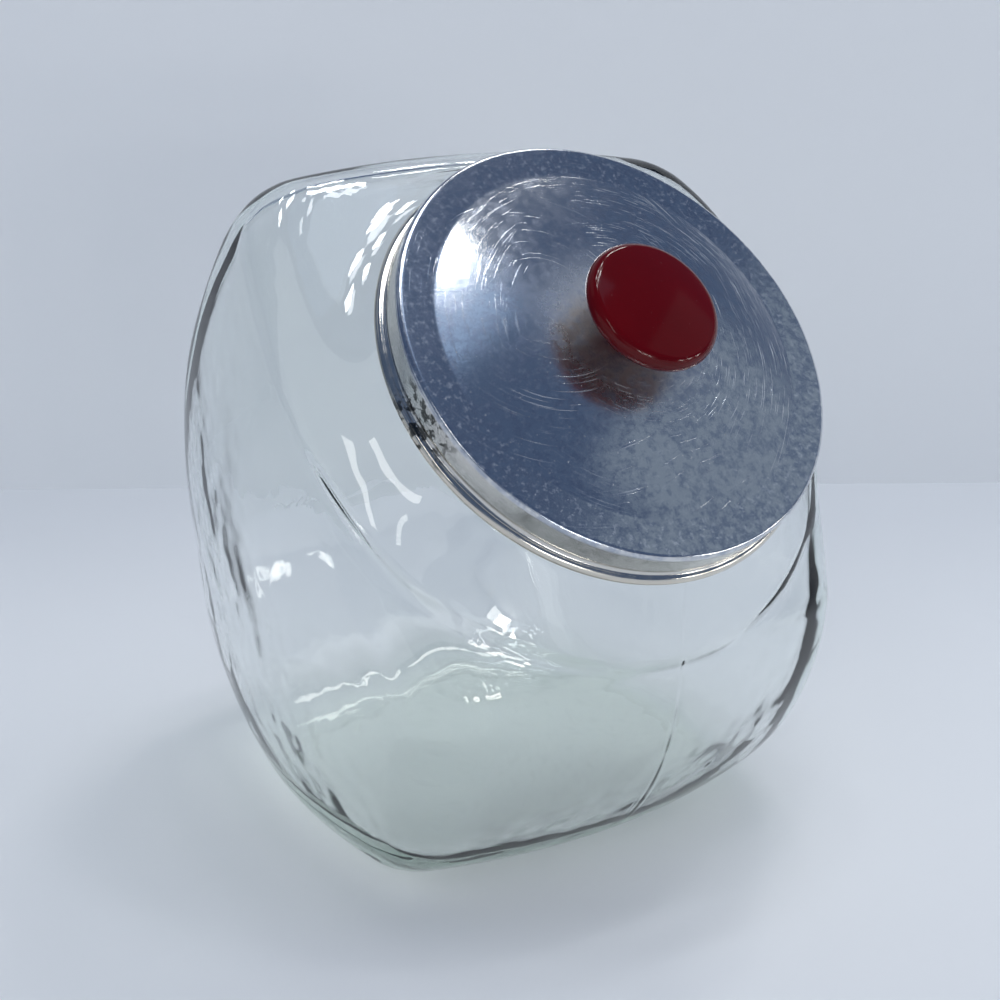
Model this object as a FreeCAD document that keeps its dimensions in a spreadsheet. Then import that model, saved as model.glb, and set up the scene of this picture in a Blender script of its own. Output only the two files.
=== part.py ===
import FreeCAD, Part
import Sketcher
import math
import os

# A counter candy jar: a clear glass bowl whose round mouth faces up and forward, a sheet
# metal lid lying on that mouth, and a moulded knob at the lid's centre.
# Millimetres. +Z is up, the mouth faces -Y, and the origin is the middle of the base.
#
# The bowl is the common part of five simple solids: a front and a back wall that are each
# part of a turned shape, two side walls of the same kind, and a roof of two slopes, the
# front one of which carries the mouth. Its hollow is the same bowl, one wall smaller.

NODES = ("glass_jar", "lid", "knob")

SIZES = {
    # bowl, seen from the side
    "belt_height": 72.3,          # where the lower curve meets the upper walls
    "belt_half_depth": 95.3,
    "front_curve": 87.5,          # lower curve of the front and back walls
    "wall_lean": 21.0,            # upper front and back walls, from the vertical
    "front_bow": 201.8,           # front and back walls, seen from above
    "top_height": 202.0,
    "ridge_radius": 9.4,
    "ridge_axis": -216.0,         # height of the axis that the roof's arch is turned about
    # bowl, seen from the front
    "belt_half_width": 87.2,
    "side_curve": 152.4,          # lower curve of the side walls
    "side_swell": 345.0,          # upper curve of the side walls
    "swell_height": 109.2,
    "crown_radius": 40.0,
    "side_bow": 203.8,            # side walls, seen from above
    # glass
    "wall": 3.2,
    "base_thickness": 7.0,
    "crease_round": 7.0,
    "hollow_round": 5.0,
    "heel_round": 5.0,
    "floor_round": 7.0,
    # mouth, measured from the centre of the lid's rim and square to it
    "mouth_forward": 66.2,
    "mouth_height": 154.9,
    "mouth_tilt": 49.1,           # of its axis, from the vertical
    "shoulder_drop": 16.8,
    "neck_radius": 59.5,
    "neck_wall": 4.0,
    "lip_drop": 0.7,
    "lip_height": 6.0,
    "lip_proud": 1.6,
    "flare_top": 12.0,
    "flare_foot": 30.0,
    "flare_radius": 79.5,
    "bore_flare_top": 12.7,
    "bore_flare_foot": 32.4,
    "bore_flare_radius": 77.4,
    # lid
    "lid_radius": 64.0,
    "sheet": 0.7,
    "rim_round": 1.3,
    "dome_radius": 54.0,
    "dome_curve": 349.0,
    "groove_drop": 9.4,
    "groove_round": 1.4,
    "groove_depth": 0.7,
    "skirt_depth": 12.1,
    "bead_round": 1.5,
    "bead_out": 0.3,
    # knob
    "knob_radius": 19.0,
    "knob_height": 15.7,          # of its widest circle
    "knob_edge": 3.0,
    "knob_crown": 90.0,
    "knob_under": 24.0,           # slope of the underside
    "stem_radius": 7.0,
    "stem_round": 3.2,
    "stem_foot": 9.0,
}


def make_sheet(doc):
    sheet = doc.addObject("Spreadsheet::Sheet", "Sizes")
    for row, (name, value) in enumerate(SIZES.items(), start=1):
        sheet.set("A%d" % row, name)
        sheet.set("B%d" % row, str(value))
        sheet.setAlias("B%d" % row, name)
    doc.recompute()
    return sheet


SIDE_VIEW = FreeCAD.Rotation(FreeCAD.Vector(1, 1, 1), 120)     # sketch x is Y, sketch y is Z
FRONT_VIEW = FreeCAD.Rotation(FreeCAD.Vector(1, 0, 0), 90)     # sketch x is X, sketch y is Z
START, END, CENTRE = 1, 2, 3
ORIGIN = (-1, 1)


def v2(x, y):
    return FreeCAD.Vector(x, y, 0)


def line(a, b):
    return Part.LineSegment(v2(*a), v2(*b))


def arc(centre, radius, first, last):
    """Arc from angle first to last, in degrees, anticlockwise."""
    circle = Part.Circle(v2(*centre), FreeCAD.Vector(0, 0, 1), radius)
    return Part.ArcOfCircle(circle, math.radians(first), math.radians(last))


class Outline:
    """A sketch whose constraints are bound to cells of the sheet."""

    def __init__(self, sketch, turn):
        self.sketch = sketch
        self.sketch.Placement = FreeCAD.Placement(v2(0, 0), turn)

    def add(self, shape, helper=False):
        return self.sketch.addGeometry(shape, helper)

    def rule(self, *words):
        return self.sketch.addConstraint(Sketcher.Constraint(*words))

    def size(self, cell, *words):
        """A dimension: words are a constraint without its value, cell is its formula."""
        index = self.rule(*words, self.guess(words))
        self.sketch.setExpression("Constraints[%d]" % index, cell)
        return index

    def guess(self, words):
        kind = words[0]
        shapes = self.sketch.Geometry
        if kind == "Radius":
            return shapes[words[1]].Radius
        if kind == "Angle":
            a, b = shapes[words[1]].StartPoint, shapes[words[1]].EndPoint
            return math.atan2(b.y - a.y, b.x - a.x)
        if kind == "Distance":
            point = self.sketch.getPoint(words[1], words[2])
            edge = shapes[words[3]].toShape()
            return edge.distToShape(Part.Vertex(point))[0]
        a = self.sketch.getPoint(words[1], words[2])
        b = self.sketch.getPoint(words[3], words[4])
        return b.x - a.x if kind == "DistanceX" else b.y - a.y

    def chain(self, shapes, smooth=()):
        """Shapes joined end to start in a closed wire, tangent where smooth names the joint."""
        made = [self.add(shape) for shape, _, _ in shapes]
        for k, number in enumerate(made):
            follows = (k + 1) % len(made)
            kind = "Tangent" if k in smooth else "Coincident"
            self.rule(kind, number, shapes[k][2], made[follows], shapes[follows][1])
        return made


def forward(shape):
    return (shape, START, END)


def backward(shape):
    return (shape, END, START)


def less(cell, inset):
    """The formula of a cell, less the formula of an inset."""
    return "Sizes.%s - %s" % (cell, inset)


def end_wall(doc, size, name, inset, floor):
    """Front wall: lower curve, belt, then an upright leaning back; turned about its bow."""
    out = Outline(doc.addObject("Sketcher::SketchObject", name + "_end_outline"), SIDE_VIEW)
    wall = inset_value(size, inset)
    floor_z = inset_value(size, floor)
    radius = size.front_curve - wall
    belt = -(size.belt_half_depth - wall)
    centre = (belt + radius, size.belt_height)
    axis = size.front_bow - size.belt_half_depth
    drop = size.belt_height - floor_z
    foot_angle = 180 + math.degrees(math.asin(drop / radius))
    foot = centre[0] + radius * math.cos(math.radians(foot_angle))
    rise = size.top_height - size.belt_height
    top = belt + rise * math.tan(math.radians(size.wall_lean))
    base, curve, lean, cap, spine = out.chain([
        forward(line((axis, floor_z), (foot, floor_z))),
        backward(arc(centre, radius, 180, foot_angle)),
        forward(line((belt, size.belt_height), (top, size.top_height))),
        forward(line((top, size.top_height), (axis, size.top_height))),
        forward(line((axis, size.top_height), (axis, floor_z))),
    ])
    out.rule("Horizontal", base)
    out.rule("Horizontal", cap)
    out.rule("Vertical", spine)
    out.rule("Horizontal", curve, CENTRE, lean, START)
    out.size("Sizes.front_bow - Sizes.belt_half_depth", "DistanceX", *ORIGIN, base, START)
    out.size(floor, "DistanceY", *ORIGIN, base, START)
    out.size("Sizes.top_height", "DistanceY", *ORIGIN, cap, START)
    out.size("Sizes.belt_height", "DistanceY", *ORIGIN, curve, CENTRE)
    out.size(less("belt_half_depth", inset), "DistanceX", lean, START, *ORIGIN)
    out.size(less("front_curve", inset), "Radius", curve)
    out.size("(90 - Sizes.wall_lean) * 1 deg", "Angle", lean)
    return turned(doc, name + "_front", out.sketch, "y",
                  "Sizes.front_bow - Sizes.belt_half_depth")


def side_wall(doc, size, name, inset, floor):
    """Right wall: lower curve, belt, long swell and crown; turned about its bow."""
    out = Outline(doc.addObject("Sketcher::SketchObject", name + "_side_outline"), FRONT_VIEW)
    wall = inset_value(size, inset)
    floor_z = inset_value(size, floor)
    axis = size.belt_half_width - size.side_bow
    radius = size.side_curve - wall
    belt = size.belt_half_width - wall
    centre = (belt - radius, size.belt_height)
    foot_angle = -math.degrees(math.asin((size.belt_height - floor_z) / radius))
    foot = centre[0] + radius * math.cos(math.radians(foot_angle))
    swell = size.side_swell - wall
    crown = size.crown_radius - wall
    up = size.swell_height - size.belt_height
    swell_centre = (belt - math.sqrt(swell ** 2 - up ** 2), size.swell_height)
    crown_z = size.top_height - wall - crown
    gap = crown_z - size.swell_height
    crown_x = swell_centre[0] + math.sqrt((swell - crown) ** 2 - gap ** 2)
    tangent = math.degrees(math.atan2(gap, crown_x - swell_centre[0]))
    base, curve, side, corner, cap, spine = out.chain([
        forward(line((axis, floor_z), (foot, floor_z))),
        forward(arc(centre, radius, foot_angle, 0)),
        forward(arc(swell_centre, swell, -math.degrees(math.asin(up / swell)), tangent)),
        forward(arc((crown_x, crown_z), crown, tangent, 90)),
        forward(line((crown_x, crown_z + crown), (axis, crown_z + crown))),
        forward(line((axis, crown_z + crown), (axis, floor_z))),
    ], smooth=(2, 3))
    out.rule("Horizontal", base)
    out.rule("Vertical", spine)
    out.rule("Horizontal", curve, CENTRE, side, START)
    out.rule("Horizontal", cap)
    out.size("Sizes.side_bow - Sizes.belt_half_width", "DistanceX", base, START, *ORIGIN)
    out.size(floor, "DistanceY", *ORIGIN, base, START)
    out.size(less("top_height", inset), "DistanceY", *ORIGIN, cap, START)
    out.size("Sizes.belt_height", "DistanceY", *ORIGIN, curve, CENTRE)
    out.size("Sizes.swell_height", "DistanceY", *ORIGIN, side, CENTRE)
    out.size(less("belt_half_width", inset), "DistanceX", *ORIGIN, side, START)
    out.size(less("side_curve", inset), "Radius", curve)
    out.size(less("side_swell", inset), "Radius", side)
    out.size(less("crown_radius", inset), "Radius", corner)
    return turned(doc, name + "_right", out.sketch, "x",
                  "Sizes.belt_half_width - Sizes.side_bow")


def roof(doc, size, name, inset):
    """Two slopes and their rounded ridge, arched sideways; the front one is the shoulder."""
    out = Outline(doc.addObject("Sketcher::SketchObject", name + "_roof_outline"), SIDE_VIEW)
    drop = size.shoulder_drop + inset_value(size, inset)
    floor_z = size.ridge_axis / 8
    ridge = size.ridge_radius - inset_value(size, inset)
    slope = math.radians(size.mouth_tilt)
    foot = size.mouth_forward - drop * math.sin(slope)
    apex = size.mouth_height - drop * math.cos(slope) + foot * math.tan(slope)
    reach = size.belt_half_depth + 20
    eave = apex - reach * math.tan(slope)
    ridge_z = apex - ridge / math.cos(slope)
    side = ridge * math.sin(slope)
    touch = ridge_z + ridge * math.cos(slope)
    tilt = size.mouth_tilt
    base, left, rise, top, fall, right = out.chain([
        forward(line((reach, floor_z), (-reach, floor_z))),
        forward(line((-reach, floor_z), (-reach, eave))),
        forward(line((-reach, eave), (-side, touch))),
        backward(arc((0, ridge_z), ridge, 90 - tilt, 90 + tilt)),
        forward(line((side, touch), (reach, eave))),
        forward(line((reach, eave), (reach, floor_z))),
    ], smooth=(2,))
    mouth = out.add(Part.Point(v2(-size.mouth_forward, size.mouth_height)), True)
    out.rule("Vertical", left)
    out.rule("Symmetric", left, END, fall, END, -2)
    out.rule("Symmetric", rise, END, top, START, -2)
    out.rule("Symmetric", left, START, right, END, -2)
    out.size("Sizes.belt_half_depth + 20", "DistanceX", left, START, *ORIGIN)
    out.size("-Sizes.ridge_axis / 8", "DistanceY", base, START, *ORIGIN)
    out.size("Sizes.mouth_forward", "DistanceX", mouth, START, *ORIGIN)
    out.size("Sizes.mouth_height", "DistanceY", *ORIGIN, mouth, START)
    out.size("Sizes.mouth_tilt * 1 deg", "Angle", rise)
    out.size("Sizes.shoulder_drop + %s" % inset, "Distance", mouth, START, rise)
    out.size(less("ridge_radius", inset), "Radius", top)
    return turned(doc, name + "_roof", out.sketch, "z", "Sizes.ridge_axis",
                  axis=FreeCAD.Vector(0, 1, 0), angle=60)


def inset_value(size, formula):
    """The number of a formula that is either 0 or one cell."""
    return getattr(size, formula.split(".")[1]) if "." in formula else float(formula)


def turned(doc, name, sketch, across, offset, axis=FreeCAD.Vector(0, 0, 1), angle=360):
    solid = doc.addObject("Part::Revolution", name)
    solid.Source = sketch
    solid.Axis = axis
    solid.Angle = angle
    solid.Symmetric = True
    solid.Solid = True
    solid.setExpression("Base." + across, offset)
    return solid


def mirrored(doc, source, name, normal):
    twin = doc.addObject("Part::Mirroring", name)
    twin.Source = source
    twin.Normal = normal
    return twin


def bowl(doc, size, name, inset, floor):
    """The closed bowl, every face drawn in by inset and standing on floor."""
    front = end_wall(doc, size, name, inset, floor)
    right = side_wall(doc, size, name, inset, floor)
    whole = doc.addObject("Part::MultiCommon", name)
    whole.Shapes = [
        front,
        mirrored(doc, front, name + "_back", FreeCAD.Vector(0, 1, 0)),
        right,
        mirrored(doc, right, name + "_left", FreeCAD.Vector(1, 0, 0)),
        roof(doc, size, name, inset),
    ]
    return whole


def turned_body(doc, name):
    """A body whose Z axis is the axis of the mouth, with z = 0 in the plane of the rim."""
    body = doc.addObject("PartDesign::Body", name)
    body.Placement = FreeCAD.Placement(v2(0, 0), FreeCAD.Rotation(v2(1, 0), 1))
    body.setExpression(".Placement.Base.y", "-Sizes.mouth_forward")
    body.setExpression(".Placement.Base.z", "Sizes.mouth_height")
    body.setExpression(".Placement.Rotation.Angle", "Sizes.mouth_tilt * 1 deg")
    return body


def plane_of(body, role):
    return next(f for f in body.Origin.OriginFeatures if f.Role == role)


def body_outline(body, name):
    """A sketch on the body's own XZ plane: sketch x is the radius, sketch y the height."""
    out = Outline(body.newObject("Sketcher::SketchObject", name), FRONT_VIEW)
    out.sketch.AttachmentSupport = (plane_of(body, "XZ_Plane"), "")
    out.sketch.MapMode = "FlatFace"
    return out


def revolve(body, name, out):
    feature = body.newObject("PartDesign::Revolution", name)
    feature.Profile = out.sketch
    feature.ReferenceAxis = (out.sketch, ["V_Axis"])
    feature.Angle = 360
    return feature


def collar(doc, size):
    """Outside of the neck: a rounded lip, a short upright neck and a flare into the bowl."""
    body = turned_body(doc, "collar")
    out = body_outline(body, "collar_outline")
    lip = size.neck_radius + size.lip_proud
    soft = size.lip_height / 2
    top = -size.lip_drop
    low = top - size.lip_height
    neck = size.neck_radius
    foot = (size.flare_radius, -size.flare_foot)
    crown, bead, shelf, wall, flare, base, spine = out.chain([
        forward(line((0, top), (lip - soft, top))),
        backward(arc((lip - soft, top - soft), soft, -90, 90)),
        forward(line((lip - soft, low), (neck, low))),
        forward(line((neck, low), (neck, -size.flare_top))),
        forward(line((neck, -size.flare_top), foot)),
        forward(line(foot, (0, -size.flare_foot))),
        forward(line((0, -size.flare_foot), (0, top))),
    ], smooth=(0, 1))
    out.rule("Horizontal", crown)
    out.rule("Horizontal", shelf)
    out.rule("Vertical", wall)
    out.rule("Horizontal", base)
    out.rule("Vertical", spine)
    out.rule("PointOnObject", crown, START, -2)
    out.size("Sizes.lip_drop", "DistanceY", crown, START, *ORIGIN)
    out.size("Sizes.lip_height / 2", "Radius", bead)
    out.size("Sizes.neck_radius + Sizes.lip_proud - Sizes.lip_height / 2",
             "DistanceX", *ORIGIN, bead, CENTRE)
    out.size("Sizes.neck_radius", "DistanceX", *ORIGIN, wall, START)
    out.size("Sizes.flare_top", "DistanceY", wall, END, *ORIGIN)
    out.size("Sizes.flare_radius", "DistanceX", *ORIGIN, flare, END)
    out.size("Sizes.flare_foot", "DistanceY", flare, END, *ORIGIN)
    revolve(body, "collar_turn", out)
    return body


def bore(doc, size):
    """Inside of the neck: a straight mouth that opens into the hollow."""
    body = turned_body(doc, "bore")
    out = body_outline(body, "bore_outline")
    radius = size.neck_radius - size.neck_wall
    foot = (size.bore_flare_radius, -size.bore_flare_foot)
    top, wall, flare, base, spine = out.chain([
        forward(line((0, 0), (radius, 0))),
        forward(line((radius, 0), (radius, -size.bore_flare_top))),
        forward(line((radius, -size.bore_flare_top), foot)),
        forward(line(foot, (0, -size.bore_flare_foot))),
        forward(line((0, -size.bore_flare_foot), (0, 0))),
    ])
    out.rule("Coincident", top, START, *ORIGIN)
    out.rule("Horizontal", top)
    out.rule("Vertical", wall)
    out.rule("Horizontal", base)
    out.rule("Vertical", spine)
    out.size("Sizes.neck_radius - Sizes.neck_wall", "DistanceX", *ORIGIN, wall, START)
    out.size("Sizes.bore_flare_top", "DistanceY", wall, END, *ORIGIN)
    out.size("Sizes.bore_flare_radius", "DistanceX", *ORIGIN, flare, END)
    out.size("Sizes.bore_flare_foot", "DistanceY", flare, END, *ORIGIN)
    revolve(body, "bore_turn", out)
    return body


def face_angle(edge, faces):
    """Degrees between the two faces that share an edge."""
    middle = edge.valueAt((edge.FirstParameter + edge.LastParameter) / 2)
    normals = []
    for face in faces:
        if any(edge.isSame(other) for other in face.Edges):
            normals.append(face.normalAt(*face.Surface.parameter(middle)))
    return math.degrees(normals[0].getAngle(normals[1])) if len(normals) == 2 else 0


def lies_at(edge, height):
    box = edge.BoundBox
    return abs(box.ZMin - height) < 0.01 and abs(box.ZMax - height) < 0.01


def softened(doc, name, base, floor, crease_cell, heel_cell):
    """The same solid with its creases and the edge of its floor rounded."""
    body = doc.addObject("PartDesign::Body", name)
    body.BaseFeature = base
    doc.recompute()
    last = body.Group[0]
    for part, cell in (("creases", crease_cell), ("heel", heel_cell)):
        names = []
        for number, edge in enumerate(last.Shape.Edges, start=1):
            on_floor = lies_at(edge, floor)
            if on_floor == (part == "heel") and face_angle(edge, last.Shape.Faces) > 3:
                names.append("Edge%d" % number)
        fillet = body.newObject("PartDesign::Fillet", name + "_" + part)
        fillet.Base = (last, names)
        fillet.setExpression("Radius", "Sizes." + cell)
        doc.recompute()
        last = fillet
    return body


def glass_jar(doc, size):
    outside = softened(doc, "outside", bowl(doc, size, "bowl", "0", "0"), 0,
                       "crease_round", "heel_round")
    hollow = bowl(doc, size, "hollow", "Sizes.wall", "Sizes.base_thickness")
    inside = softened(doc, "inside", hollow, size.base_thickness,
                      "hollow_round", "floor_round")
    solid = doc.addObject("Part::MultiFuse", "jar_outside")
    solid.Shapes = [outside, collar(doc, size)]
    solid.Refine = True
    space = doc.addObject("Part::MultiFuse", "jar_inside")
    space.Shapes = [inside, bore(doc, size)]
    space.Refine = True
    jar = doc.addObject("Part::Cut", "glass_jar")
    jar.Base = solid
    jar.Tool = space
    return jar


def lid(doc, size):
    """Pressed sheet: a low dome, a flat ring, a skirt with a groove and a rolled bead."""
    body = turned_body(doc, "lid")
    out = body_outline(body, "lid_outline")
    rim, sheet, edge = size.lid_radius, size.sheet, size.rim_round
    inner = rim - sheet
    curve = size.dome_curve
    low = -math.sqrt(curve ** 2 - size.dome_radius ** 2)
    lean = math.degrees(math.acos(size.dome_radius / curve))
    under = curve - sheet
    under_lean = math.degrees(math.asin((-sheet - low) / under))
    under_radius = under * math.cos(math.radians(under_lean))
    groove = size.groove_round
    middle = (rim + groove - size.groove_depth, -size.groove_drop)
    half = math.degrees(math.acos((groove - size.groove_depth) / groove))
    reach = groove * math.sin(math.radians(half))
    wide = groove + sheet
    wide_half = math.degrees(math.acos((middle[0] - inner) / wide))
    wide_reach = wide * math.sin(math.radians(wide_half))
    end = -size.skirt_depth
    parts = out.chain([
        backward(arc((0, low), curve, lean, 90)),
        forward(line((size.dome_radius, 0), (rim - edge, 0))),
        backward(arc((rim - edge, -edge), edge, 0, 90)),
        forward(line((rim, -edge), (rim, middle[1] + reach))),
        forward(arc(middle, groove, 180 - half, 180 + half)),
        forward(line((rim, middle[1] - reach), (rim, end))),
        forward(line((rim, end), (inner, end))),
        forward(line((inner, end), (inner, middle[1] - wide_reach))),
        backward(arc(middle, wide, 180 - wide_half, 180 + wide_half)),
        forward(line((inner, middle[1] + wide_reach), (inner, -edge))),
        forward(arc((rim - edge, -edge), edge - sheet, 0, 90)),
        forward(line((rim - edge, -sheet), (under_radius, -sheet))),
        forward(arc((0, low), under, under_lean, 90)),
        forward(line((0, low + under), (0, low + curve))),
    ], smooth=(1, 2, 9, 10))
    (dome, ring, turn, upper, dent, lower, foot,
     lower_in, dent_in, upper_in, turn_in, ring_in, dome_in, spine) = parts
    out.rule("Horizontal", ring)
    for wall in (upper, upper_in, lower_in, spine):
        out.rule("Vertical", wall)
    out.rule("Horizontal", foot)
    out.rule("Coincident", dome, CENTRE, dome_in, CENTRE)
    out.rule("Coincident", turn, CENTRE, turn_in, CENTRE)
    out.rule("Coincident", dent, CENTRE, dent_in, CENTRE)
    out.rule("Vertical", dent, START, dent, END)
    out.rule("Vertical", upper, END, lower, END)
    out.rule("Vertical", dent_in, START, dent_in, END)
    out.rule("PointOnObject", dome, CENTRE, -2)
    out.rule("PointOnObject", dome, END, -2)
    out.rule("PointOnObject", dome, START, -1)
    out.size("Sizes.dome_curve", "Radius", dome)
    out.size("Sizes.dome_curve - Sizes.sheet", "Radius", dome_in)
    out.size("Sizes.dome_radius", "DistanceX", *ORIGIN, ring, START)
    out.size("Sizes.lid_radius", "DistanceX", *ORIGIN, upper, START)
    out.size("Sizes.rim_round", "Radius", turn)
    out.size("Sizes.rim_round - Sizes.sheet", "Radius", turn_in)
    out.size("Sizes.groove_round", "Radius", dent)
    out.size("Sizes.groove_round + Sizes.sheet", "Radius", dent_in)
    out.size("Sizes.groove_drop", "DistanceY", dent, CENTRE, *ORIGIN)
    out.size("Sizes.lid_radius + Sizes.groove_round - Sizes.groove_depth",
             "DistanceX", *ORIGIN, dent, CENTRE)
    out.size("Sizes.skirt_depth", "DistanceY", lower, END, *ORIGIN)
    revolve(body, "lid_turn", out)
    bead = body_outline(body, "bead_outline")
    ring = bead.add(Part.Circle(v2(rim + size.bead_out, end), FreeCAD.Vector(0, 0, 1),
                                size.bead_round))
    bead.size("Sizes.bead_round", "Radius", ring)
    bead.size("Sizes.lid_radius + Sizes.bead_out", "DistanceX", *ORIGIN, ring, CENTRE)
    bead.size("Sizes.skirt_depth", "DistanceY", ring, CENTRE, *ORIGIN)
    revolve(body, "bead_turn", bead)
    return body


def knob(doc, size):
    """Moulded knob: a thick disc on a waisted stem whose foot follows the dome."""
    body = turned_body(doc, "knob")
    out = body_outline(body, "knob_outline")
    low = -math.sqrt(size.dome_curve ** 2 - size.dome_radius ** 2)
    edge = size.knob_edge
    hub = (size.knob_radius - edge, size.knob_height)
    crown = size.knob_crown
    crown_z = hub[1] - math.sqrt((crown - edge) ** 2 - hub[0] ** 2)
    crown_lean = math.degrees(math.atan2(hub[1] - crown_z, hub[0]))
    under = -(90 - size.knob_under)
    leave = (hub[0] + edge * math.cos(math.radians(under)),
             hub[1] + edge * math.sin(math.radians(under)))
    waist = size.stem_round
    waist_x = size.stem_radius + waist
    meet_x = waist_x + waist * math.cos(math.radians(under + 180))
    meet_z = leave[1] - (leave[0] - meet_x) * math.tan(math.radians(size.knob_under))
    waist_z = meet_z - waist * math.sin(math.radians(under + 180))
    foot_z = low + math.sqrt(size.dome_curve ** 2 - size.stem_foot ** 2)
    foot_lean = math.degrees(math.acos(size.stem_foot / size.dome_curve))
    stem_z = waist_z
    top, rim, slope, neck, flare, foot, spine = out.chain([
        backward(arc((0, crown_z), crown, crown_lean, 90)),
        backward(arc(hub, edge, under, crown_lean)),
        forward(line(leave, (meet_x, meet_z))),
        forward(arc((waist_x, waist_z), waist, under + 180, 180)),
        forward(line((size.stem_radius, stem_z), (size.stem_foot, foot_z))),
        forward(arc((0, low), size.dome_curve, foot_lean, 90)),
        forward(line((0, low + size.dome_curve), (0, crown_z + crown))),
    ], smooth=(0, 1, 2))
    out.rule("PointOnObject", top, END, -2)
    out.rule("PointOnObject", top, CENTRE, -2)
    out.rule("Vertical", spine)
    out.rule("PointOnObject", foot, CENTRE, -2)
    out.rule("Horizontal", neck, CENTRE, neck, END)
    out.size("Sizes.knob_crown", "Radius", top)
    out.size("Sizes.knob_edge", "Radius", rim)
    out.size("Sizes.knob_height", "DistanceY", *ORIGIN, rim, CENTRE)
    out.size("Sizes.knob_radius - Sizes.knob_edge", "DistanceX", *ORIGIN, rim, CENTRE)
    out.size("(180 + Sizes.knob_under) * 1 deg", "Angle", slope)
    out.size("Sizes.stem_round", "Radius", neck)
    out.size("Sizes.stem_radius", "DistanceX", *ORIGIN, flare, START)
    out.size("Sizes.stem_foot", "DistanceX", *ORIGIN, flare, END)
    out.size("Sizes.dome_curve", "Radius", foot)
    out.size("sqrt(Sizes.dome_curve^2 - Sizes.dome_radius^2)", "DistanceY",
             foot, CENTRE, *ORIGIN)
    revolve(body, "knob_turn", out)
    return body


def main():
    doc = FreeCAD.newDocument("CandyJar")
    size = make_sheet(doc)
    nodes = {"glass_jar": glass_jar(doc, size), "lid": lid(doc, size), "knob": knob(doc, size)}
    doc.recompute()
    for item in doc.Objects:
        if "Invalid" in item.State or "Error" in item.State:
            raise RuntimeError("%s: %s" % (item.Label, item.getStatusString()))
    os.makedirs("parts", exist_ok=True)
    for name in NODES:
        shape = nodes[name].Shape
        if shape.isNull() or not shape.isValid() or len(shape.Solids) != 1:
            raise RuntimeError(name + " is not one valid solid")
        nodes[name].Label = name
        shape.exportStep("parts/%s.step" % name)
        box = shape.BoundBox
        print(name, round(shape.Volume / 1000, 1), "cm3",
              [round(x, 1) for x in (box.XMin, box.XMax, box.YMin, box.YMax, box.ZMin, box.ZMax)])


main()
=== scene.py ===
import math

import bmesh
import bpy
import numpy as np
from mathutils import Matrix, Vector


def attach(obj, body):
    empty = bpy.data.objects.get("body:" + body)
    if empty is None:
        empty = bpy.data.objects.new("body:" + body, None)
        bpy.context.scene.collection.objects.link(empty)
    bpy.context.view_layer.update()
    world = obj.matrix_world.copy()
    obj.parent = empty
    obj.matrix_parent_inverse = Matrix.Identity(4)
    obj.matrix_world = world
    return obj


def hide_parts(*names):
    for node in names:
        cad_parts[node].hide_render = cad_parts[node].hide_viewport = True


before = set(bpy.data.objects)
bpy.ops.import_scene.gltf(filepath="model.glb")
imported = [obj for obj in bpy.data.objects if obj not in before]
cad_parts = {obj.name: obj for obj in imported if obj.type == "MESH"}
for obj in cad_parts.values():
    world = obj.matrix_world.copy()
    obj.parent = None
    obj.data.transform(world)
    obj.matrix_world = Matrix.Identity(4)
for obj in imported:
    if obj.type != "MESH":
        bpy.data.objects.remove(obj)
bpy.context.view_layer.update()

# A slant-front counter jar: a moulded glass bowl, a plated lid lying on its tilted mouth
# and a dark red knob. Metres; +Z is up and the mouth faces -Y.
MM = 0.001

# ---------------------------------------------------------------- the jar's driving sizes
BELT = 72.3 * MM               # height of the crease round the bowl
HALF_DEPTH = 95.3 * MM
HALF_WIDTH = 87.2 * MM
FRONT_CURVE = 87.5 * MM        # lower curve of the front and back walls
SIDE_CURVE = 152.4 * MM        # lower curve of the side walls
FRONT_BOW = 201.8 * MM         # front and back walls, seen from above
SIDE_BOW = 203.8 * MM          # side walls, seen from above
WALL_LEAN = math.radians(21.0)
SWELL = 345.0 * MM
SWELL_HEIGHT = 109.2 * MM
CROWN_LEFT = 31.0 * MM         # the blown shoulder is squarer on the left
CROWN_RIGHT = 45.0 * MM
TOP = 202.0 * MM
RIDGE = 9.4 * MM
RIDGE_AXIS = -216.0 * MM
WALL = 3.2 * MM
BASE = 7.0 * MM

MOUTH = Vector((0.0, -66.2 * MM, 154.9 * MM))
TILT = math.radians(49.1)
SHOULDER = 16.8 * MM
NECK = 59.5 * MM
NECK_WALL = 4.0 * MM
LIP_DROP = 0.75 * MM
LIP_HEIGHT = 6.0 * MM
LIP_PROUD = 1.6 * MM
FLARE_TOP = 12.0 * MM
FLARE_FOOT = 30.0 * MM
FLARE_RADIUS = 79.5 * MM

CREASE = 8.0 * MM              # rounding of the outer creases
HEEL = 9.0 * MM                # rounding of the outer foot
INNER_CREASE = 12.0 * MM
INNER_HEEL = 12.0 * MM
ROOT = 5.0 * MM                # rounding where the neck leaves the roof
BORE_START = FLARE_TOP + 0.7 * MM
BORE_FOOT = FLARE_FOOT + 2.4 * MM
BORE_ROUND = 6.0 * MM
EYE_DEPTH = 62.0 * MM          # the glass is laid out round this point on the mouth's axis
FAR = 0.3                      # beyond the jar, seen from that point

LID_RADIUS = 64.0 * MM
LID_EDGE = 1.3 * MM
GROOVE = 1.4 * MM
SHEET = 0.7 * MM
DOME_RADIUS = 54.0 * MM
DOME_CURVE = 349.0 * MM
SKIRT = 12.1 * MM
BEAD = 1.5 * MM
DOME_AXIS = -math.sqrt(DOME_CURVE ** 2 - DOME_RADIUS ** 2)

KNOB_RADIUS = 19.0 * MM
KNOB_HEIGHT = 15.7 * MM

MOUTH_FRAME = Matrix.Translation(MOUTH) @ Matrix.Rotation(TILT, 4, "X")


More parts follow.
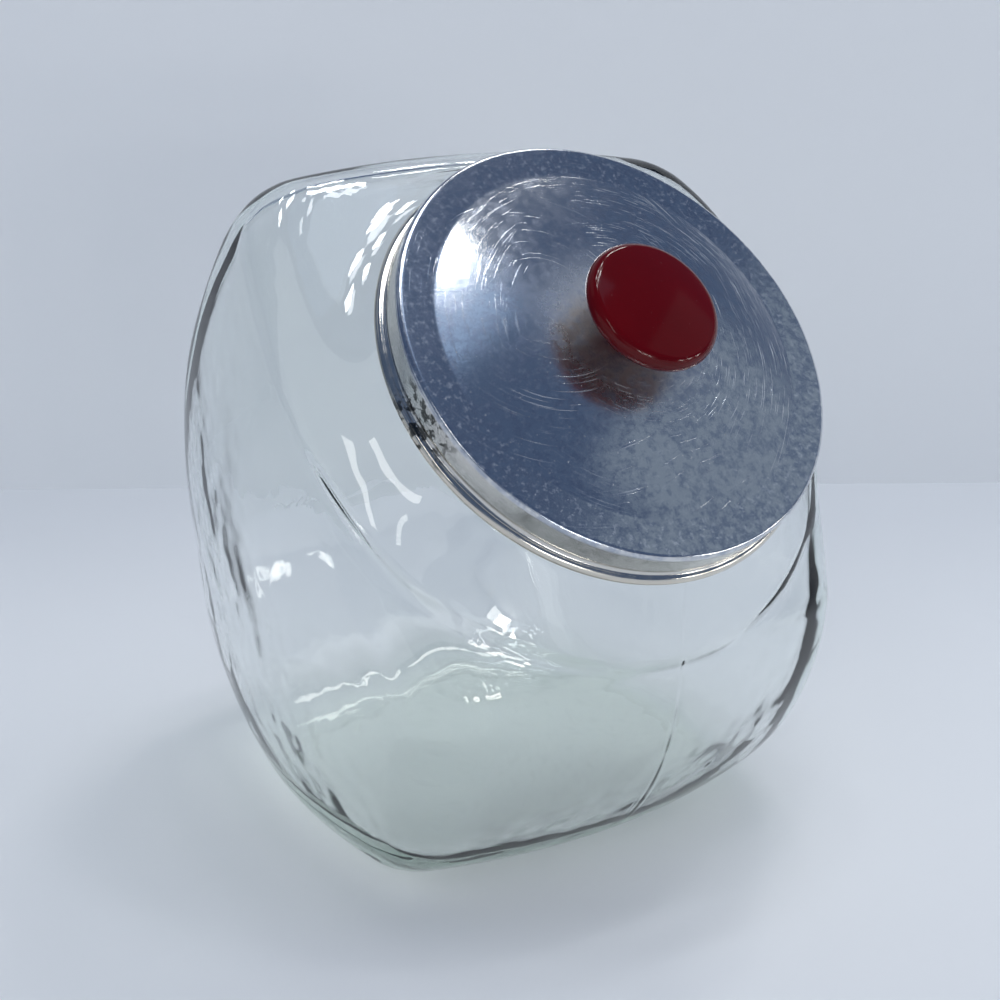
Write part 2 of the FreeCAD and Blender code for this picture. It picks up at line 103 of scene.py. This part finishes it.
# ---------------------------------------------------------------- shader maths
class Wire:
    """A node socket that can be used in a Python expression."""

    def __init__(self, tree, socket):
        self.tree = tree
        self.socket = socket

    def maths(self, operation, other=None, swap=False):
        values = [self] if other is None else [self, other]
        if swap:
            values.reverse()
        return self.tree.node("ShaderNodeMath", {"operation": operation}, *values)

    def __add__(self, other):
        return self.maths("ADD", other)

    def __sub__(self, other):
        return self.maths("SUBTRACT", other)

    def __mul__(self, other):
        return self.maths("MULTIPLY", other)

    def __truediv__(self, other):
        return self.maths("DIVIDE", other)

    def __pow__(self, other):
        return self.maths("POWER", other)

    def __rsub__(self, other):
        return self.maths("SUBTRACT", other, swap=True)

    def __rtruediv__(self, other):
        return self.maths("DIVIDE", other, swap=True)

    __radd__ = __add__
    __rmul__ = __mul__

    def least(self, other):
        return self.maths("MINIMUM", other)

    def most(self, other):
        return self.maths("MAXIMUM", other)

    def step(self, low, high):
        """0 below low, 1 above high and smooth between."""
        return self.tree.node("ShaderNodeMapRange", {"interpolation_type": "SMOOTHSTEP"},
                              self, low, high, 0.0, 1.0)


class Tree:
    """A node tree: maths is written with wires, and every other node comes from node()."""

    def __init__(self, tree):
        self.nodes = tree.nodes
        self.links = tree.links
        self.nodes.clear()

    def node(self, kind, settings=None, *values, out=0, at=None, **named):
        """Makes a node: its settings first, then its sockets in order, by number or by name."""
        made = self.nodes.new(kind)
        for key, value in (settings or {}).items():
            setattr(made, key, value)
        for index, value in (dict(enumerate(values)) | (at or {})).items():
            self.feed(made.inputs[index], value)
        for name, value in named.items():
            self.feed(made.inputs[name.replace("_", " ")], value)
        return Wire(self, made.outputs[out]) if made.outputs else None

    def feed(self, socket, value):
        if isinstance(value, Wire):
            self.links.new(value.socket, socket)
        elif isinstance(value, (tuple, list)) and len(value) == 3 and socket.type == "RGBA":
            socket.default_value = (*value, 1.0)
        else:
            socket.default_value = value

    def beside(self, wire):
        """Every output of the wire's node, by name."""
        return {socket.name: Wire(self, socket) for socket in wire.socket.node.outputs}

    def split(self, vector):
        """The X, Y and Z of a vector."""
        return list(self.beside(self.node("ShaderNodeSeparateXYZ", None, vector)).values())

    def join(self, x, y, z):
        return self.node("ShaderNodeCombineXYZ", None, x, y, z)


class Finish(Tree):
    """A material's node tree."""

    def __init__(self, name):
        self.material = bpy.data.materials.new(name)
        self.material.use_nodes = True
        super().__init__(self.material.node_tree)

    def place(self, matrix=None):
        """Object coordinates, or those of the given frame."""
        where = self.node("ShaderNodeTexCoord", out="Object")
        if matrix is None:
            return where
        return self.node("ShaderNodeMapping", {"vector_type": "TEXTURE"}, where,
                         tuple(matrix.to_translation()), tuple(matrix.to_euler()))

    def noise(self, where, scale, detail=2.0, rough=0.5, warp=0.0):
        return self.node("ShaderNodeTexNoise", None, Vector=where, Scale=scale, Detail=detail,
                         Roughness=rough, Distortion=warp)

    def blend(self, mask, low, high):
        """Colours mixed by a mask: a Mix node's colours are sockets 6 and 7, and output 2."""
        return self.node("ShaderNodeMix", {"data_type": "RGBA"}, mask, at={6: low, 7: high},
                         out=2)

    def bump(self, height, distance, strength, **under):
        return self.node("ShaderNodeBump", None, Strength=strength, Distance=distance,
                         Height=height, **under)

    def done(self, **surfaces):
        self.node("ShaderNodeOutputMaterial", None, **surfaces)
        return self.material


# ---------------------------------------------------------------- materials
def glass_material():
    """Clear soda glass, faintly green where it is thick, with a mould seam down the front."""
    tree = Finish("clear_glass")
    where = tree.place()
    x, y, z = tree.split(where)
    drift = tree.noise(where, 24.0, 2.0, 0.4)
    ripple = tree.noise(where, 75.0, 1.0, 0.4)
    # the lower walls are the more rippled
    low = 1.0 - z.step(0.05, 0.15)
    relief = tree.bump(drift + ripple * (0.38 + 0.42 * low), 0.0009, 0.5)
    seam_width = 0.0011
    seam = (1.0 - (x * x) ** 0.5 / seam_width).most(0.0) * (1.0 - y.step(-0.06, -0.05))
    normal = tree.bump(seam, 0.0003, 0.24, Normal=relief)
    surface = tree.node("ShaderNodeBsdfPrincipled", None, Base_Color=(0.974, 0.980, 0.979),
                        Roughness=0.0, IOR=1.5, Transmission_Weight=1.0, Normal=normal)
    tint = tree.node("ShaderNodeVolumeAbsorption", None, (0.72, 0.87, 0.80), 18.0)
    # light on its way to the floor passes the walls straight, dimmed
    shaded = tree.node("ShaderNodeLightPath", out="Is Shadow Ray")
    clear = tree.node("ShaderNodeBsdfTransparent", None, (0.68, 0.69, 0.685))
    walls = tree.node("ShaderNodeMixShader", None, shaded, surface, clear)
    return tree.done(Surface=walls, Volume=tint)


def metal_material():
    """Plated sheet: a fine mottled bloom, hairline scratches in arcs, specks and stains."""
    tree = Finish("lid_metal")
    where = tree.place(MOUTH_FRAME)
    x, y, z = tree.split(where)
    radius = (x * x + y * y) ** 0.5
    turn = y.maths("ARCTAN2", x)
    cloud = tree.noise(where, 34.0, 4.0, 0.6, 0.3)
    grain = tree.noise(where, 330.0, 6.0, 0.72)
    fleck = tree.noise(where, 1100.0, 2.0, 0.5)
    ring = radius.step(0.0525, 0.0545)       # the flat ring round the dome
    face = z.step(-0.0022, -0.0012)          # the top, and not the skirt
    # bloom: a broken grey film, thicker on the flat ring
    bloom = (grain * 0.75 + cloud * 0.25 + ring * 0.03).step(0.43, 0.62)
    speck = fleck.step(0.69, 0.76)
    # hairlines, some about the middle and some about a point beside it
    hair = tree.noise(tree.join(radius * 2300.0, turn * 2.6, 0.0), 1.0, 2.0, 0.6)
    off_x = x + 0.021
    off_y = y - 0.012
    away = (off_x * off_x + off_y * off_y) ** 0.5
    swirl = tree.noise(tree.join(away * 2100.0, turn * 1.7, 3.0), 1.0, 2.0, 0.6)
    worn = tree.noise(where, 26.0, 1.0, 0.5)
    rubbed = worn.step(0.44, 0.60)
    scratch = (hair.step(0.60, 0.68) * rubbed).most(swirl.step(0.63, 0.70) * (1.0 - rubbed))
    scratch = scratch * away.step(0.007, 0.016) * radius.step(0.010, 0.020)
    scratch = scratch * (1.0 - ring * 0.7) * face
    # dark stains on the skirt's left side
    blot_x = (x + 0.0625) / 0.010
    blot_y = (y + 0.012) / 0.011
    near = 1.0 - (blot_x * blot_x + blot_y * blot_y).step(0.2, 1.6)
    stain = near * tree.noise(where, 420.0, 3.0, 0.6).step(0.50, 0.58) * (1.0 - face)
    # pale crumbs in the plating, most of them on the flat ring
    crumb = tree.noise(where, 560.0, 5.0, 0.75).step(0.53, 0.63) * (0.3 + 0.7 * ring) * face
    bare = (0.72, 0.725, 0.73)
    dull = (0.42, 0.46, 0.54)
    colour = tree.blend(bloom * face, bare, dull)
    # the skirt is tinted a warmer grey than the top: a painted reflection of the warm floor and
    # room that the skirt faces
    colour = tree.blend(face, (0.68, 0.665, 0.63), colour)
    colour = tree.blend(crumb * 0.5, colour, (0.88, 0.90, 0.93))
    colour = tree.blend(scratch * 0.7, colour, (0.90, 0.91, 0.92))
    bead = 1.0 - (z + 0.0095).step(-0.003, 0.0)
    colour = tree.blend(bead, colour, (0.72, 0.66, 0.56))
    colour = tree.blend(stain * 0.9, colour, (0.03, 0.032, 0.03))
    middle = 1.0 - radius.step(0.012, 0.034)  # duller round the knob
    film = bloom * 0.01 + crumb * 0.11 + speck * 0.26 * face
    film = film + scratch * 0.17 + middle * 0.05
    rough = 0.10 + bloom * 0.09 + scratch * 0.08 + cloud * 0.06 + middle * 0.20
    normal = tree.bump(scratch * 0.5 + grain * 0.5, 0.00008, 0.5)
    surface = tree.node("ShaderNodeBsdfPrincipled", None, Base_Color=colour,
                        Metallic=1.0 - film, Roughness=rough, Normal=normal)
    return tree.done(Surface=surface)


def knob_material():
    """Polished dark red plastic with a little wear in its gloss."""
    tree = Finish("knob_plastic")
    where = tree.place(MOUTH_FRAME)
    cloud = tree.noise(where, 60.0, 3.0, 0.5)
    dust = tree.noise(where, 900.0, 2.0, 0.5).step(0.71, 0.76)
    colour = tree.blend(cloud, (0.072, 0.0003, 0.0014), (0.102, 0.0005, 0.002))
    colour = tree.blend(dust * 0.03, colour, (0.5, 0.35, 0.35))
    rough = 0.09 + cloud * 0.05 + dust * 0.10
    normal = tree.bump(tree.noise(where, 240.0, 2.0, 0.5), 0.0001, 0.10)
    surface = tree.node("ShaderNodeBsdfPrincipled", None, Base_Color=colour, Roughness=rough,
                        IOR=1.45, Specular_IOR_Level=0.3, Normal=normal)
    return tree.done(Surface=surface)


# ---------------------------------------------------------------- the glass wall
def soft_most(a, b, round_over):
    """The larger of two fields, blended where they are nearly equal."""
    near = np.maximum(round_over - np.abs(a - b), 0.0) / round_over
    return np.maximum(a, b) + near * near * round_over * 0.25


def soft_least(a, b, round_over):
    """The smaller of two fields, blended the same way."""
    return -soft_most(-a, -b, round_over)


def end_reach(z, inset):
    """Half depth of the bowl at its middle line, at height z."""
    radius = FRONT_CURVE - inset
    low = HALF_DEPTH - FRONT_CURVE + np.sqrt(np.maximum(radius ** 2 - (BELT - z) ** 2, 0.0))
    high = HALF_DEPTH - inset - (z - BELT) * math.tan(WALL_LEAN)
    return np.where(z < BELT, low, high)


def side_reach(x, z, inset):
    """Half width of the bowl at its middle line, at height z."""
    curve = SIDE_CURVE - inset
    swell = SWELL - inset
    crown = np.where(x < 0.0, CROWN_LEFT, CROWN_RIGHT) - inset
    low = HALF_WIDTH - SIDE_CURVE + np.sqrt(np.maximum(curve ** 2 - (BELT - z) ** 2, 0.0))
    rise = SWELL_HEIGHT - BELT
    swell_x = HALF_WIDTH - inset - math.sqrt(swell ** 2 - rise ** 2)
    middle = swell_x + np.sqrt(np.maximum(swell ** 2 - (z - SWELL_HEIGHT) ** 2, 0.0))
    crown_z = TOP - inset - crown
    gap = crown_z - SWELL_HEIGHT
    crown_x = swell_x + np.sqrt((swell - crown) ** 2 - gap ** 2)
    meet = crown_z + gap * crown / (swell - crown)
    high = crown_x + np.sqrt(np.maximum(crown ** 2 - (z - crown_z) ** 2, 0.0))
    high = np.where(z > crown_z + crown, crown_x - (z - crown_z - crown), high)
    return np.where(z < BELT, low, np.where(z < meet, middle, high))


def roof_field(x, y, z, inset):
    """Distance above the two slopes and their ridge, arched sideways."""
    drop = SHOULDER + inset
    foot = -MOUTH.y - drop * math.sin(TILT)
    apex = MOUTH.z - drop * math.cos(TILT) + foot * math.tan(TILT)
    lifted = np.hypot(x, z - RIDGE_AXIS) + RIDGE_AXIS
    ridge = RIDGE - inset
    ridge_z = apex - ridge / math.cos(TILT)
    slope = np.abs(y) * math.sin(TILT) + (lifted - apex) * math.cos(TILT)
    inside = (lifted > ridge_z) & (np.abs(y) < (lifted - ridge_z) * math.tan(TILT))
    return np.where(inside, np.hypot(y, lifted - ridge_z) - ridge, slope)


def bowl_field(x, y, z, inset, floor, crease, heel):
    """Negative inside the closed bowl whose faces are drawn in by inset."""
    front_axis = FRONT_BOW - HALF_DEPTH
    side_axis = SIDE_BOW - HALF_WIDTH
    ends = front_axis + end_reach(z, inset)
    sides = side_axis + side_reach(x, z, inset)
    front = np.maximum(np.hypot(x, y - front_axis), np.hypot(x, y + front_axis)) - ends
    side = np.maximum(np.hypot(x + side_axis, y), np.hypot(x - side_axis, y)) - sides
    walls = soft_most(front, side, crease)
    shell = soft_most(walls, roof_field(x, y, z, inset), crease)
    return soft_most(shell, floor - z, heel)


def mouth_parts(x, y, z):
    """Depth below the rim plane and distance from the mouth's axis."""
    sine, cosine = math.sin(TILT), math.cos(TILT)
    dy, dz = y - MOUTH.y, z - MOUTH.z
    depth = dy * sine - dz * cosine
    climb = dy * cosine + dz * sine
    return depth, np.hypot(x, climb)


def neck_field(depth, radius, size, start, foot, round_over):
    """Negative inside a neck of the given radius that flares from start down to foot."""
    rate = (FLARE_RADIUS - NECK) / (FLARE_FOOT - FLARE_TOP)
    flare = (radius - size - (depth - start) * rate) / math.hypot(1.0, rate)
    return np.maximum(soft_least(radius - size, flare, round_over), depth - foot)


def outer_field(x, y, z):
    """Negative inside the jar's outside: the bowl, its neck and its rolled lip."""
    depth, radius = mouth_parts(x, y, z)
    neck = neck_field(depth, radius, NECK, FLARE_TOP, FLARE_FOOT, ROOT)
    roll = LIP_HEIGHT / 2
    lip = np.hypot(np.maximum(radius - NECK - LIP_PROUD + roll, 0.0), depth - LIP_DROP - roll)
    neck = np.maximum(np.minimum(neck, lip - roll), LIP_DROP - depth)
    bowl = bowl_field(x, y, z, 0.0, 0.0, CREASE, HEEL)
    return soft_least(bowl, neck, ROOT)


def inner_field(x, y, z):
    """Negative inside the hollow and the bore of the mouth."""
    depth, radius = mouth_parts(x, y, z)
    bore = neck_field(depth, radius, NECK - NECK_WALL, BORE_START, BORE_FOOT, BORE_ROUND)
    hollow = bowl_field(x, y, z, WALL, BASE, INNER_CREASE, INNER_HEEL)
    return soft_least(hollow, bore, ROOT)


def waves(points, seed, length, height):
    """Slow unevenness of moulded glass: a few sine waves across each other."""
    chance = np.random.default_rng(seed)
    total = np.zeros(len(points))
    count = 9
    for _ in range(count):
        heading = chance.normal(size=3)
        heading *= 2.0 * math.pi / (length * chance.uniform(0.7, 1.6) * np.linalg.norm(heading))
        total += np.sin(points @ heading + chance.uniform(0.0, 2.0 * math.pi))
    return total * height / math.sqrt(count)


def way_out(field, start, directions):
    """Where rays from start leave the field's inside, by halving."""
    near = np.zeros(len(directions))
    far = np.full(len(directions), FAR)
    halvings = 30
    for _ in range(halvings):
        middle = (near + far) / 2
        points = start + directions * middle[:, None]
        inside = field(points[:, 0], points[:, 1], points[:, 2]) < 0.0
        near = np.where(inside, middle, near)
        far = np.where(inside, far, middle)
    return start + directions * near[:, None]


def wall_rings(field, eye, first, rows, columns):
    """Rings of points from the lip back to the far pole, and the rays that they lie on."""
    round_turn = np.arange(columns) * 2.0 * math.pi / columns
    from_axis = first + (math.pi - first) * np.linspace(0.0, 1.0, rows + 1)[:-1]
    across, along, axis = np.array(MOUTH_FRAME.to_3x3().transposed())
    tilts, turns = np.meshgrid(from_axis, round_turn, indexing="ij")
    tilts, turns = tilts.ravel(), turns.ravel()
    directions = (np.cos(tilts)[:, None] * axis
                  + (np.sin(tilts) * np.cos(turns))[:, None] * across
                  + (np.sin(tilts) * np.sin(turns))[:, None] * along)
    directions = np.vstack([directions, -axis])
    return way_out(field, eye, directions), directions


def ring_faces(base, rows, columns, inward):
    """Faces between neighbouring rings, closed at the far pole."""
    faces = []
    tip = base + rows * columns
    for row in range(rows):
        for column in range(columns):
            a = base + row * columns + column
            b = base + row * columns + (column + 1) % columns
            c, d = a + columns, b + columns
            face = (a, tip, b) if row == rows - 1 else (a, c, d, b)
            faces.append((face[0], *face[:0:-1]) if inward else face)
    return faces


def glass_jar():
    """Outer and inner wall as rings round the mouth's axis, joined over the lip."""
    columns, rows = ((320, 150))
    eye = np.array(MOUTH_FRAME @ Vector((0, 0, -EYE_DEPTH)))
    lip = NECK + LIP_PROUD - LIP_HEIGHT / 2
    bore = NECK - NECK_WALL
    outer_start = math.atan2(lip, EYE_DEPTH - LIP_DROP)
    inner_start = math.atan2(bore, EYE_DEPTH - LIP_DROP - 1.2 * MM)
    outer, _ = wall_rings(outer_field, eye, outer_start, rows, columns)
    inner, inner_ways = wall_rings(inner_field, eye, inner_start, rows, columns)
    # the hollow's wall is a little uneven, but not at the lip and less so at the base
    depth, _ = mouth_parts(inner[:, 0], inner[:, 1], inner[:, 2])
    even_neck, easing, even_base = 14.0 * MM, 20.0 * MM, 30.0 * MM
    ease = np.clip((depth - even_neck) / easing, 0.0, 1.0)
    calm = np.clip(inner[:, 2] / even_base, 0.35, 1.0)
    uneven = waves(inner, seed=3, length=0.055, height=0.00022) * ease * calm
    inner = inner + inner_ways * uneven[:, None]
    half = len(outer)
    faces = ring_faces(0, rows, columns, False) + ring_faces(half, rows, columns, True)
    for column in range(columns):
        beside = (column + 1) % columns
        faces.append((column, beside, half + beside, half + column))
    mesh = bpy.data.meshes.new("glass_body")
    mesh.from_pydata(np.vstack([outer, inner]).tolist(), [], faces)
    mesh.update()
    mesh.polygons.foreach_set("use_smooth", [True] * len(mesh.polygons))
    piece = bpy.data.objects.new("glass_body", mesh)
    bpy.context.scene.collection.objects.link(piece)
    mesh.materials.append(glass_material())
    return piece


# ---------------------------------------------------------------- turned pieces
def outline(name, stretches):
    """A profile from axis to axis: each stretch is a corner or an arc, x out and y up."""
    points = []
    for kind, *words in stretches:
        if kind == "corner":
            points.append(words)
            continue
        (cx, cy), radius, first, last, count = words
        for k in range(count + 1):
            angle = math.radians(first + (last - first) * k / count)
            points.append((cx + radius * math.cos(angle), cy + radius * math.sin(angle)))
    curve = bpy.data.curves.new(name, "CURVE")
    curve.dimensions = "3D"
    spline = curve.splines.new("POLY")
    spline.points.add(len(points) - 1)
    for point, (x, y) in zip(spline.points, points):
        point.co = (x, 0.0, y, 1.0)
    shape = bpy.data.objects.new(name, curve)
    bpy.context.scene.collection.objects.link(shape)
    return shape


def lathe_tree(material):
    """Geometry Nodes: sweeps a profile round the axis, then sets it on the mouth."""
    group = bpy.data.node_groups.new("lathe", "GeometryNodeTree")
    for name, kind in (("Profile", "Object"), ("Segments", "Int"), ("Samples", "Int"),
                       ("Centre", "Vector"), ("Tilt", "Float")):
        group.interface.new_socket(name, in_out="INPUT", socket_type="NodeSocket" + kind)
    group.interface.new_socket("Geometry", in_out="OUTPUT", socket_type="NodeSocketGeometry")
    tree = Tree(group)
    given = tree.beside(tree.node("NodeGroupInput"))
    profile = tree.node("GeometryNodeObjectInfo", out="Geometry", Object=given["Profile"])
    grid = tree.node("GeometryNodeMeshGrid", Size_X=1.0, Size_Y=1.0,
                     Vertices_X=given["Segments"] + 1.0, Vertices_Y=given["Samples"])
    grid_x, grid_y, _ = tree.split(tree.node("GeometryNodeInputPosition"))
    angle = (grid_x + 0.5) * (2.0 * math.pi)
    along = (grid_y + 0.5).most(0.0).least(1.0)
    point = tree.node("GeometryNodeSampleCurve", {"mode": "FACTOR"}, out="Position",
                      Curves=profile, Factor=along)
    reach, _, height = tree.split(point)
    spun = tree.join(reach * angle.maths("COSINE"), reach * angle.maths("SINE"), height)
    swept = tree.node("GeometryNodeSetPosition", Geometry=grid, Position=spun)
    closed = tree.node("GeometryNodeMergeByDistance", Geometry=swept, Distance=2e-6)
    smooth = tree.node("GeometryNodeSetShadeSmooth", Geometry=closed)
    seated = tree.node("GeometryNodeTransform", Geometry=smooth, Translation=given["Centre"],
                       Rotation=tree.join(given["Tilt"], 0.0, 0.0))
    real = tree.node("GeometryNodeRealizeInstances", Geometry=seated)
    coated = tree.node("GeometryNodeSetMaterial", Geometry=real, Material=material)
    tree.node("NodeGroupOutput", Geometry=coated)
    return group


def turned(name, profile, material, segments, samples):
    """A piece turned from its profile, as a plain mesh that stands on the mouth."""
    group = lathe_tree(material)
    holder = bpy.data.objects.new(name + "_maker", bpy.data.meshes.new(name + "_maker"))
    bpy.context.scene.collection.objects.link(holder)
    modifier = holder.modifiers.new("lathe", "NODES")
    modifier.node_group = group
    inputs = {"Profile": profile, "Segments": segments, "Samples": samples,
              "Centre": tuple(MOUTH), "Tilt": TILT}
    for item in group.interface.items_tree:
        if item.in_out == "INPUT":
            modifier[item.identifier] = inputs[item.name]
    holder.update_tag()
    bpy.context.view_layer.update()
    ready = holder.evaluated_get(bpy.context.evaluated_depsgraph_get())
    mesh = bpy.data.meshes.new_from_object(ready)
    mesh.name = name
    piece = bpy.data.objects.new(name, mesh)
    bpy.context.scene.collection.objects.link(piece)
    for spare in (holder, profile):
        bpy.data.objects.remove(spare)
    face_outwards(mesh)
    return piece


def face_outwards(mesh):
    """Turns every face out, by the sign of the closed mesh's volume."""
    work = bmesh.new()
    work.from_mesh(mesh)
    bmesh.ops.recalc_face_normals(work, faces=work.faces)
    if work.calc_volume(signed=True) < 0.0:
        bmesh.ops.reverse_faces(work, faces=work.faces)
    work.to_mesh(mesh)
    work.free()


def lid():
    """Dome, flat ring, rounded rim and grooved skirt with its bead, then back underneath."""
    lean = math.degrees(math.acos(DOME_RADIUS / DOME_CURVE))
    under = DOME_CURVE - SHEET
    under_lean = math.degrees(math.asin((-SHEET - DOME_AXIS) / under))
    corner = (LID_RADIUS - LID_EDGE, -LID_EDGE)
    groove_axis = (LID_RADIUS + GROOVE / 2, -9.4 * MM)
    half = 60.0
    wide = GROOVE + SHEET
    wide_half = math.degrees(math.acos((groove_axis[0] - LID_RADIUS + SHEET) / wide))
    bead_axis = (LID_RADIUS + 0.3 * MM, -SKIRT)
    profile = outline("lid_profile", [
        ("arc", (0.0, DOME_AXIS), DOME_CURVE, 90.0, lean, 40),
        ("corner", corner[0], 0.0),
        ("arc", corner, LID_EDGE, 90.0, 0.0, 8),
        ("arc", groove_axis, GROOVE, 180.0 - half, 180.0 + half, 10),
        ("arc", bead_axis, BEAD, 100.0, -220.0, 30),
        ("arc", groove_axis, wide, 180.0 + wide_half, 180.0 - wide_half, 8),
        ("arc", corner, LID_EDGE - SHEET, 0.0, 90.0, 6),
        ("arc", (0.0, DOME_AXIS), under, under_lean, 90.0, 40),
    ])
    return turned("lid_shell", profile, metal_material(), segments=256, samples=330)


def knob():
    """A low domed disc with a rounded edge, on a short waisted stem that stands on the dome."""
    edge = 3.0 * MM
    hub = (KNOB_RADIUS - edge, KNOB_HEIGHT)
    crown = 90.0 * MM
    crown_z = hub[1] - math.sqrt((crown - edge) ** 2 - hub[0] ** 2)
    crown_lean = math.degrees(math.atan2(hub[1] - crown_z, hub[0]))
    slope = 24.0
    under = slope - 90.0
    leave = (hub[0] + edge * math.cos(math.radians(under)),
             hub[1] + edge * math.sin(math.radians(under)))
    waist, stem = 3.2 * MM, 7.0 * MM
    meet_x = stem + waist - waist * math.cos(math.radians(under))
    meet_z = leave[1] - (leave[0] - meet_x) * math.tan(math.radians(slope))
    waist_z = meet_z + waist * math.sin(math.radians(under))
    foot_x = 9.0 * MM
    foot_lean = math.degrees(math.acos(foot_x / DOME_CURVE))
    profile = outline("knob_profile", [
        ("arc", (0.0, crown_z), crown, 90.0, crown_lean, 20),
        ("arc", hub, edge, crown_lean, under, 24),
        ("arc", (stem + waist, waist_z), waist, under + 180.0, 180.0, 10),
        ("corner", foot_x - 0.4 * MM, DOME_AXIS + DOME_CURVE + 0.3 * MM),
        ("arc", (0.0, DOME_AXIS), DOME_CURVE, foot_lean, 90.0, 8),
    ])
    return turned("knob_body", profile, knob_material(), segments=128, samples=160)


# ---------------------------------------------------------------- stage, light and camera
BOARD = (0.73, 0.755, 0.785)
FOLD = 0.324                   # from the jar's middle to the fold in the board
BOARD_REACH = 3.0
BOARD_HEIGHT = 0.6
CEILING = 1.35
DAYLIGHT = (1.0, 0.99, 0.94)
PALE_DAY = (1.0, 0.99, 0.98)
PALE_GREEN = (0.94, 1.0, 0.98)


def board_material(name):
    """Pale matt board, very slightly clouded."""
    tree = Finish(name)
    cloud = tree.noise(tree.place(), 3.0, 3.0, 0.5)
    darker, lighter = (tuple(part * change for part in BOARD) for change in (0.97, 1.03))
    surface = tree.node("ShaderNodeBsdfPrincipled", None, Roughness=0.6,
                        Base_Color=tree.blend(cloud, darker, lighter), Specular_IOR_Level=0.3)
    return tree.done(Surface=surface)


def stage():
    """A pale board floor that folds up into a pale board behind."""
    turn = Matrix.Rotation(-math.radians(32.25), 4, "Z")
    front, fold, top = (-BOARD_REACH, 0.0), (FOLD, 0.0), (FOLD, BOARD_HEIGHT)
    for name, near, far in (("floor_board", front, fold), ("back_board", fold, top)):
        corners = [(-BOARD_REACH, *near), (BOARD_REACH, *near),
                   (BOARD_REACH, *far), (-BOARD_REACH, *far)]
        mesh = bpy.data.meshes.new(name)
        mesh.from_pydata([turn @ Vector(corner) for corner in corners], [], [(0, 1, 2, 3)])
        mesh.materials.append(board_material(name))
        board = bpy.data.objects.new(name, mesh)
        bpy.context.scene.collection.objects.link(board)


def panel(name, place, target, wide, tall, power, colour):
    """A rectangular lamp that faces its target."""
    data = bpy.data.lights.new(name, "AREA")
    data.shape = "RECTANGLE"
    data.size = wide
    data.size_y = tall
    data.energy = power
    data.color = colour
    lamp = bpy.data.objects.new(name, data)
    lamp.location = place
    lamp.rotation_euler = (Vector(target) - Vector(place)).to_track_quat("-Z", "Y").to_euler()
    bpy.context.scene.collection.objects.link(lamp)
    return lamp


def lights():
    """Small panes for the sparkle, dim cards for the metal and two soft lamps for the light."""
    middle = (0.0, 0.0, 0.1)
    for row in range(2):
        for column in range(3):
            x, y = -0.12 + column * 0.20, -0.20 + row * 0.22
            panel("ceiling_pane", (x, y, CEILING), (x, y, 0.0), 0.09, 0.09, 0.62, (0.96, 0.98, 1.0))
            x, z = -0.42 + column * 0.17, 0.07 + row * 0.16
            panel("front_pane", (x, -1.6, z), (x, 0.0, 0.1), 0.07, 0.08, 0.45, DAYLIGHT)
    x, y = 0.34, -0.23
    panel("corner_pane", (x, y, CEILING), (x, y, 0.0), 0.08, 0.08, 0.7, (0.97, 0.99, 1.0))
    panel("tall_window", (-1.25, -1.2, 1.1), middle, 0.10, 0.8, 1.6, DAYLIGHT)
    for bearing, height in ((127.0, 0.30), (137.0, 0.25), (146.0, 0.20)):
        heading = math.radians(bearing)
        place = (1.66 * math.sin(heading), 1.66 * math.cos(heading), height)
        panel("low_pane", place, middle, 0.10, 0.18, 0.9, (1.0, 0.98, 0.93))
    for x in (0.50, 0.72):
        panel("rear_pane", (x, 0.24, CEILING), middle, 0.10, 0.16, 1.2, DAYLIGHT)
    panel("right_card", (1.6, -1.1, 1.4), middle, 1.3, 0.9, 0.6, (0.9, 1.0, 0.96))
    panel("rear_card", (-0.7, 1.1, 1.9), middle, 2.2, 1.0, 1.3, PALE_GREEN)
    panel("blue_card", (0.30, -0.40, 1.42), middle, 0.36, 0.36, 0.22, (0.50, 0.70, 1.0))
    panel("left_card", (-1.7, -0.2, 0.35), middle, 1.8, 0.7, 1.4, PALE_GREEN)
    panel("front_card", (-0.5, -1.9, 0.35), middle, 1.6, 0.5, 0.8, (0.95, 1.0, 0.98))
    for soft in (
        panel("soft_left", (-0.95, -0.65, 0.8), (0.0, -0.4, 0.0), 1.5, 1.1, 6.2, PALE_DAY),
        panel("soft_right", (0.85, -0.55, 1.5), (0.5, -0.1, 0.0), 1.2, 1.2, 5.6, PALE_DAY),
    ):
        soft.visible_glossy = False


def room():
    """The dim blue of the room that the metal mirrors."""
    world = bpy.data.worlds.new("room")
    bpy.context.scene.world = world
    world.use_nodes = True
    background = world.node_tree.nodes["Background"]
    background.inputs[0].default_value = (0.070, 0.108, 0.195, 1.0)
    background.inputs[1].default_value = 1.0


def camera():
    """Stands off the jar's front left corner, a little above its lid."""
    data = bpy.data.cameras.new("camera")
    data.lens = 48.0
    data.sensor_width = 36.0
    data.clip_start = 0.01
    eye = bpy.data.objects.new("camera", data)
    bpy.context.scene.collection.objects.link(eye)
    right = Vector((0.84463, -0.53531, -0.00666))
    up = Vector((0.16497, 0.24842, 0.95451))
    back = Vector((-0.50930, -0.80730, 0.29812))
    turn = Matrix((right, up, back)).transposed().to_4x4()
    eye.matrix_world = Matrix.Translation((-0.21602, -0.34637, 0.22024)) @ turn
    bpy.context.scene.camera = eye


# ---------------------------------------------------------------- putting it together
def settle(piece, node):
    """Puts a piece in place of its solid, on the jar's one body."""
    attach(piece, "root")
    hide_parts(node)


def main():
    """The three pieces, each in place of its solid, and their stage."""
    bpy.context.scene.view_settings.view_transform = "Standard"
    settle(glass_jar(), "glass_jar")
    settle(lid(), "lid")
    settle(knob(), "knob")
    stage()
    lights()
    room()
    camera()


main()
